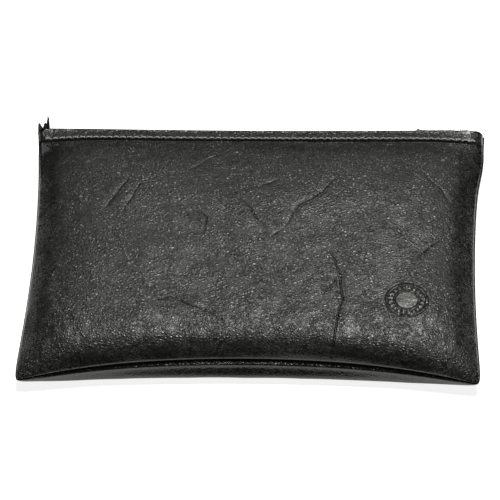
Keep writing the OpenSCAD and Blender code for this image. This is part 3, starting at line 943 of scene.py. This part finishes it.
# The stub stands up from the chain at the corner, with a ragged upper edge
stub_w, stub_h = 7.4 * MM, 12.6 * MM
stub_x = -half_w + stub_w
su, sv = np.meshgrid(np.linspace(0, 1, 15), np.linspace(0, 1, 11))
ragged = 0.75 + 0.25 * np.cos(5.2 * su) + 0.12 * np.sin(17 * su)
stub_middle = xyz(stub_x - stub_w * su * (1 - 0.15 * sv),
                  chain_y - 1.2 * MM + 1.2 * MM * sv * np.cos(2.5 * su),
                  chain_z + 1.5 * MM + stub_h * sv * ragged)
stub = make_cloth_strip("tape_stub", stub_middle, tape_t, zip_cloth)
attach(stub, "bag")


def fray_tree():
    """A loose fibre on every point, along `run`, each of its own length and lean."""
    tree = Grower("frayed_fibres", {
        "Fibre Length": "Float", "Fibre Diameter": "Float", "Seed": "Int", "Material": "Material"})
    length, thick, seed, material = tree.given[1:]
    fibre = tree.bow((0, 0, 0), tree.vector(length * 0.6, length * 0.12),
                     tree.vector(length, length * -0.1), 5, 5, thick)
    grown = tree.add("FunctionNodeRandomValue", {"data_type": "FLOAT"},
                     {2: 0.35, 3: 1.0, "Seed": seed}, 1)
    return tree.plant(fibre, material, tree.strayed(tree.named("run"), (0.5, 0.5, 0.15), seed),
                      Scale=grown)


fray_at = stub_middle[-1, 1:-1] - [0, 0, 0.3 * MM]
fray_points = np.concatenate([fray_at, fray_at + [0.2 * MM, 0.15 * MM, 0],
                              fray_at - [0.2 * MM, 0.12 * MM, 0]])
fray = grow("tape_fray", fray_tree(), fray_points, {"run": repeat([0, 0, 1], len(fray_points))},
            {"Fibre Length": 2.6 * MM, "Fibre Diameter": 0.22 * MM, "Seed": 4,
             "Material": zip_cloth})
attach(fray, "bag")

# ---- zip teeth ----
# A black nylon coil on each tape: a loop of stiff filament every 2 mm with a flattened
# head, wound over a filler cord. The two rows are half a pitch apart, so they mesh.
tooth_pitch = 2 * MM
filament_d = 0.75 * MM
row_start, row_end = row_low.x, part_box("back_teeth")[1].x
tooth_t = row_high.y - row_low.y
row_depth = chain_z - row_low.z
tip = 0.8 * MM
cord_r, cord_in = 0.45 * MM, 0.95 * MM


def nylon_finish():
    """Black nylon filament with a waxy shine."""
    finish = Finish("nylon_filament", Specular_IOR_Level=0.45)
    clouds = finish.noise(finish.place(), 1.2 * MM, 3.0)
    return finish.dress(clouds, 0.05 * MM, clouds, (0.006, 0.006, 0.006),
                        (0.016, 0.016, 0.016), 0.32 + clouds * 0.2)


def coil_tree():
    """A loop of filament with a flattened head on every point. `facing` is to the other row."""
    tree = Grower("zip_coil", {
        "Loop Height": "Float", "Loop Width": "Float", "Filament": "Float",
        "Head Width": "Float", "Material": "Material"})
    tall, wide, filament, head_w, material = tree.given[1:]
    size = tree.vector(tall * 0.5 - filament * 0.5, wide * 0.5 - filament * 0.5, 1.0)
    oval = tree.add("GeometryNodeTransform", None, {"Geometry": tree.ring(12, 1.0), "Scale": size})
    loop = tree.add("GeometryNodeCurveToMesh", None,
                    {"Curve": oval, "Profile Curve": tree.ring(6, filament * 0.5)})
    ball = tree.add("GeometryNodeMeshUVSphere", None,
                    {"Segments": 8, "Rings": 5, "Radius": head_w * 0.5})
    stretch = tree.vector(0.75, wide.maths("DIVIDE", wide, head_w) * 0.9, 1.0)
    head = tree.add("GeometryNodeTransform", None,
                    {"Geometry": ball, "Scale": stretch,
                     "Translation": tree.vector(tall * 0.5 - filament * 0.6)})
    tooth = tree.add("GeometryNodeJoinGeometry", None, {"Geometry": loop})
    tree.tree.links.new(head.socket, tooth.socket.node.inputs[0])
    return tree.plant(tooth, material, tree.named("facing"), tree.named("run"))


nylon = nylon_finish()
coil = coil_tree()


def join(name, pieces):
    """Makes one piece out of several."""
    work = bmesh.new()
    for piece in pieces:
        work.from_mesh(piece.data)
    work.to_mesh(pieces[0].data)
    work.free()
    for piece in pieces[1:]:
        bpy.data.objects.remove(piece)
    pieces[0].name = name
    return pieces[0]


def make_teeth(name, side):
    """A row of coil loops and its filler cord, side +1 front and -1 back."""
    start = math.ceil(row_start / tooth_pitch) * tooth_pitch + (0.5 - 0.5 * side) * tooth_pitch / 2
    x = np.arange(start, row_end - 0.4 * MM, tooth_pitch)
    tall = row_depth + tip
    points = xyz(x, chain_y, chain_z + side * (row_depth - tall / 2))
    row = grow(name, coil, points,
               {"run": repeat([1, 0.12, 0], len(x)), "facing": repeat([0, 0, -side], len(x))},
               {"Loop Height": tall, "Loop Width": tooth_t, "Filament": filament_d,
                "Head Width": 1.05 * MM, "Material": nylon})
    rings = np.stack([xyz(np.linspace(row_start, row_end, 121), chain_y + cord_r * math.cos(t),
                          chain_z + side * cord_in + cord_r * math.sin(t))
                      for t in ring_turns[::2]], 1)
    return join(name, [row, make_tube(name + "_cord", rings, nylon)])


front_teeth = make_teeth("front_coil", 1)
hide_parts("front_teeth", "lip_teeth")
follow_lip(front_teeth)
back_teeth = make_teeth("back_coil", -1)
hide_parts("back_teeth")
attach(back_teeth, "bag")

# ---- topstitching ----
# One row of thread along each hem, through the folded leatherette and the tape; its grey is a painted
# highlight. Four close stitches of black thread across the hem at each end of the zip take the strain.
stitch_l = 2.9 * MM
stitch_end = 3.8 * MM
stitch_count = int((2 * half_w - 2 * stitch_end) / stitch_pitch)
stitch_x = (np.arange(stitch_count) - (stitch_count - 1) / 2) * stitch_pitch


def hem_line(surface, x, inset, side):
    """Points on a hem's outer face at a distance from its fold, side +1 front and -1 back."""
    u = np.asarray(x) / half_w
    points = surface(u, np.full_like(u, 1 - inset / half_d))
    points[:, 2] += side * hem_swell(points[:, 0], np.full_like(u, inset)) * off_corners(u)
    return points


def topstitch(name, surface, side, seed):
    """The row of stitches along one hem."""
    lift = [0, 0, side * 0.3 * MM]
    centres = hem_line(surface, stitch_x, stitch_in, side) + lift
    runs = hem_line(surface, stitch_x + MM, stitch_in, side) + lift - centres
    runs[:, 2] = 0
    return sew(name, centres, runs / MM, [0, 0, side], stitch_l, seed)


front_stitches = topstitch("front_hem_stitches", front_at, 1, 2)
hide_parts("front_topstitch", "lip_topstitch")
follow_lip(front_stitches)
back_stitches = topstitch("back_hem_stitches", back_at, -1, 3)
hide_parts("back_topstitch")
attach(back_stitches, "bag")

tack_x = np.concatenate([s * (half_w - 4.5 * MM - 0.9 * MM * np.arange(4)) for s in (-1, 1)])
tack_centres = hem_line(front_at, tack_x, 2.5 * MM, 1) + [0, 0, 0.1 * MM]
bartacks = sew("bar_tacks", tack_centres, repeat([0, 1, 0], len(tack_x)), [0, 0, 1],
               3.4 * MM, 5, tack_thread)
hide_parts("corner_bartacks")
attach(bartacks, "bag")

# ---- stops ----
# Small nickel clips squeezed round the tape edges: one on each row at the closed end, and
# one across both rows at the other.


def nickel_finish():
    """Nickel plate, bright but lightly scuffed by use."""
    finish = Finish("nickel_plate", Metallic=1.0)
    place = finish.place()
    clouds = finish.noise(place, 2.5 * MM, 4.0)
    rub = finish.add("ShaderNodeMapping", None, {"Vector": place, "Scale": (200.0, 2500.0, 2500.0)})
    scuffs = finish.ramp(finish.add("ShaderNodeTexNoise", None,
                                    {"Vector": rub, "Scale": 1.0, "Detail": 3.0}), 0.55, 0.7)
    return finish.dress(scuffs * -0.5 + clouds * 0.5, 0.03 * MM, clouds, (0.42, 0.41, 0.39),
                        (0.62, 0.61, 0.59), 0.22 + clouds * 0.12 + scuffs * 0.2)


nickel = nickel_finish()


def bevelled_boxes(name, boxes, bevel, material):
    """Rounded blocks in one piece, each from its lowest to its highest corner."""
    work = bmesh.new()
    for lowest, highest in boxes:
        lowest, highest = Vector(lowest), Vector(highest)
        middle = Matrix.Translation((lowest + highest) / 2)
        bmesh.ops.create_cube(work, size=1,
                              matrix=middle @ Matrix.Diagonal((*(highest - lowest), 1)))
    bmesh.ops.bevel(work, geom=work.edges[:], offset=bevel, segments=3, profile=0.5,
                    affect="EDGES")
    mesh = bpy.data.meshes.new(name)
    work.to_mesh(mesh)
    work.free()
    return finished(name, mesh, 40, material)


top_low, top_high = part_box("top_stops")
stop_part = 0.5 * MM
top_stops = bevelled_boxes("top_stop_clips", [
    ((top_low.x, top_low.y, chain_z + stop_part), top_high),
    (top_low, (top_high.x, top_high.y, chain_z - stop_part))], 0.35 * MM, nickel)
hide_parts("top_stops")
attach(top_stops, "bag")
bottom_stop = bevelled_boxes("bottom_stop_clip", [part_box("bottom_stop")], 0.4 * MM, nickel)
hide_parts("bottom_stop")
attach(bottom_stop, "bag")

# ---- slider ----
# Two cast nickel plates joined by a post, with flanges that hold the rows in. A bridge
# bent from strip stands on the outer plate and carries the pull.
body_low, body_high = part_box("slider_body")
slider_mid = (body_low + body_high) / 2
slider_l = body_high.x - body_low.x
slider_w = body_high.z - body_low.z
plate_t = 0.9 * MM
tail_w = slider_w - 1 * MM


def make_plate(name, outlines, thick, bevel, place, material):
    """A flat plate with rounded edges from its outline and its holes, laid by a matrix."""
    curve = bpy.data.curves.new(name, "CURVE")
    curve.dimensions = "2D"
    curve.fill_mode = "BOTH"
    curve.extrude = thick / 2 - bevel
    curve.bevel_depth = bevel
    curve.bevel_resolution = 3
    curve.offset = -bevel
    for outline in outlines:
        spline = curve.splines.new("POLY")
        spline.points.add(len(outline) - 1)
        spline.use_cyclic_u = True
        for point, (x, y) in zip(spline.points, outline):
            point.co = (x, y, 0, 1)
    template = add_object(name + "_outline", curve)
    bpy.context.view_layer.update()
    result = template.evaluated_get(bpy.context.evaluated_depsgraph_get())
    mesh = bpy.data.meshes.new_from_object(result)
    bpy.data.objects.remove(template)
    mesh.transform(place)
    work = bmesh.new()
    work.from_mesh(mesh)
    bmesh.ops.remove_doubles(work, verts=work.verts, dist=1e-6)
    bmesh.ops.recalc_face_normals(work, faces=work.faces)
    work.to_mesh(mesh)
    work.free()
    return finished(name, mesh, 35, material)


def rounded(corners, radius, steps=5):
    """An outline with its corners rounded off."""
    points = []
    corners = [np.array(c, float) for c in corners]
    for k, corner in enumerate(corners):
        a = corners[k - 1] - corner
        b = corners[(k + 1) % len(corners)] - corner
        start = corner + a / np.linalg.norm(a) * min(radius, np.linalg.norm(a) / 2)
        end = corner + b / np.linalg.norm(b) * min(radius, np.linalg.norm(b) / 2)
        for t in np.linspace(0, 1, steps + 1):
            points.append((1 - t) ** 2 * start + 2 * t * (1 - t) * corner + t ** 2 * end)
    return points


def circle(x, y, radius):
    turns = np.linspace(0, 2 * math.pi, 24, endpoint=False)
    return [(x + radius * math.cos(t), y + radius * math.sin(t)) for t in turns]


def upright(x, y, z):
    """Lays a plate's own x and y along X and Z, with its thickness along Y."""
    return Matrix.Translation((x, y, z)) @ Matrix.Rotation(math.pi / 2, 4, "X")


end, nose, tail = slider_l / 2, slider_w / 2, tail_w / 2
half_plate = [(-end, tail - 1.2 * MM), (-end + 1.2 * MM, tail), (end - 2.8 * MM, nose),
              (end, nose - 2.1 * MM)]
plate_outline = rounded([(x, -y) for x, y in half_plate] + [(end - 0.9 * MM, 0)]
                        + half_plate[::-1], 1.1 * MM)
plate_y = slider_mid.y - body_low.y - plate_t / 2
plates = [make_plate("plate", [plate_outline], plate_t, 0.3 * MM,
                     upright(slider_mid.x, slider_mid.y + s * plate_y, slider_mid.z), nickel)
          for s in (-1, 1)]
flange_h, flange_start, flange_half = 0.95 * MM, 1.4 * MM, 0.3 * MM
cavity = plate_y - plate_t / 2
flanges = bevelled_boxes("flanges", [
    ((slider_mid.x - end + flange_start, slider_mid.y + s * cavity - (s > 0) * flange_h,
      slider_mid.z + r * (tail - flange_half) - flange_half),
     (slider_mid.x + flange_start, slider_mid.y + s * cavity + (s < 0) * flange_h,
      slider_mid.z + r * (tail - flange_half) + flange_half))
    for s in (-1, 1) for r in (-1, 1)], 0.15 * MM, nickel)
post = make_plate("post", [circle(end - 2.4 * MM, 0, 1.1 * MM)], 2 * cavity + plate_t, 0.1 * MM,
                  upright(slider_mid.x, slider_mid.y, slider_mid.z), nickel)
slider = join("zip_slider", plates + [flanges, post])
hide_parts("slider_body")
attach(slider, "slider")

bridge_low, bridge_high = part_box("slider_bridge")
strip = 0.9 * MM
leg = (bridge_high.x - bridge_low.x) / 2 - strip / 2
top = bridge_high.y - bridge_low.y - strip / 2
feet = [(-leg, -0.3 * MM), (leg, -0.3 * MM)]
bend = rounded([feet[0], (-leg, top), (leg, top), feet[1]], 2.2 * MM, 7)[6:-7]
bend = np.concatenate([feet[:1], bend, feet[1:]])
bend_run = np.gradient(bend, axis=0)
bend_out = np.stack([-bend_run[:, 1], bend_run[:, 0]], -1)
bend_out /= np.linalg.norm(bend_out, axis=1, keepdims=True)
bridge_w = bridge_high.z - bridge_low.z
bridge_rings = []
for t in ring_turns:
    offset = bend_out * (strip / 2 * squarish(math.cos(t), 0.4))
    bridge_rings.append(xyz(slider_mid.x + bend[:, 0] + offset[:, 0],
                            bridge_low.y + bend[:, 1] + offset[:, 1],
                            slider_mid.z + bridge_w / 2 * squarish(math.sin(t), 0.4)))
bridge_rings = np.stack(bridge_rings, 1)
bridge = make_tube("pull_bridge", bridge_rings, nickel, 50)
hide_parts("slider_bridge")
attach(bridge, "slider")

# ---- pull ----
# A flat nickel tongue. Its bar lies under the bridge in a window, and its rounded tip has
# a hole for a cord or a seal.
pull_low, pull_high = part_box("pull_tab")
pull_w = pull_high.z - pull_low.z
pull_y = (pull_low.y + pull_high.y) / 2
bar_r = 0.6 * MM
bar_x = pull_high.x - bar_r
pull_l = bar_x - pull_low.x
tip_r = pull_w / 2
window_far = 5.6 * MM
window_w = bridge_w + 0.8 * MM
neck = 0.35 * MM
chamfer = 0.5 * MM
half_turn = np.linspace(math.pi / 2, 3 * math.pi / 2, 17)
half_pull = [(bar_r, tip_r - chamfer), (bar_r - chamfer, tip_r)]
half_pull += [(-pull_l * t, tip_r - neck * math.sin(math.pi * t))
              for t in np.linspace(0.05, 0.85, 11)]
pull_outline = half_pull + [(-pull_l + tip_r + tip_r * math.cos(t), tip_r * math.sin(t))
                            for t in half_turn] + [(x, -y) for x, y in half_pull[::-1]]
window = rounded([(-window_far, -window_w / 2), (-bar_r, -window_w / 2), (-bar_r, window_w / 2),
                  (-window_far, window_w / 2)], 0.6 * MM)
hole_r, hole_in = 1.6 * MM, tip_r + 0.4 * MM
pull = make_plate("zip_pull", [pull_outline, window, circle(hole_in - pull_l, 0, hole_r)],
                  pull_high.y - pull_low.y, 0.3 * MM, upright(bar_x, pull_y, slider_mid.z), nickel)
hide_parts("pull_tab")
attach(pull, "pull")

# ---- table and light ----
# A pale table, one large soft light beyond the zip, and little light from anywhere else.
floor_size = 6
floor_mesh = bpy.data.meshes.new("table_top")
floor_mesh.from_pydata([(x * floor_size, y * floor_size, 0)
                        for x, y in ((-1, -1), (1, -1), (1, 1), (-1, 1))], [], [(0, 1, 2, 3)])
floor = add_object("table_top", floor_mesh)
paper = Finish("pale_paper", Base_Color=(0.9, 0.9, 0.9, 1), Roughness=0.9,
               Emission_Color=(1, 1, 1, 1), Emission_Strength=0.85)
floor_mesh.materials.append(paper.material)

light = bpy.data.lights.new("window_light", "AREA")
light.shape = "RECTANGLE"
light.size = light.size_y = 0.64
light.energy = 33
lamp = add_object("window_light", light)
lamp.location = (0.18, 0.48, 1.52)
lamp.rotation_euler = (Vector((0, 0, 0.01)) - lamp.location).to_track_quat("-Z", "Y").to_euler()

world = bpy.data.worlds.new("room")
world.use_nodes = True
bpy.context.scene.world = world
sky = Tree(world.node_tree)
seen = sky.add("ShaderNodeLightPath", out="Is Camera Ray")
shade = sky.colours(seen, (0.02,) * 3, (0.9,) * 3)
world.node_tree.links.new(shade.socket, world.node_tree.nodes["Background"].inputs["Color"])

bpy.context.scene.view_settings.view_transform = "Standard"
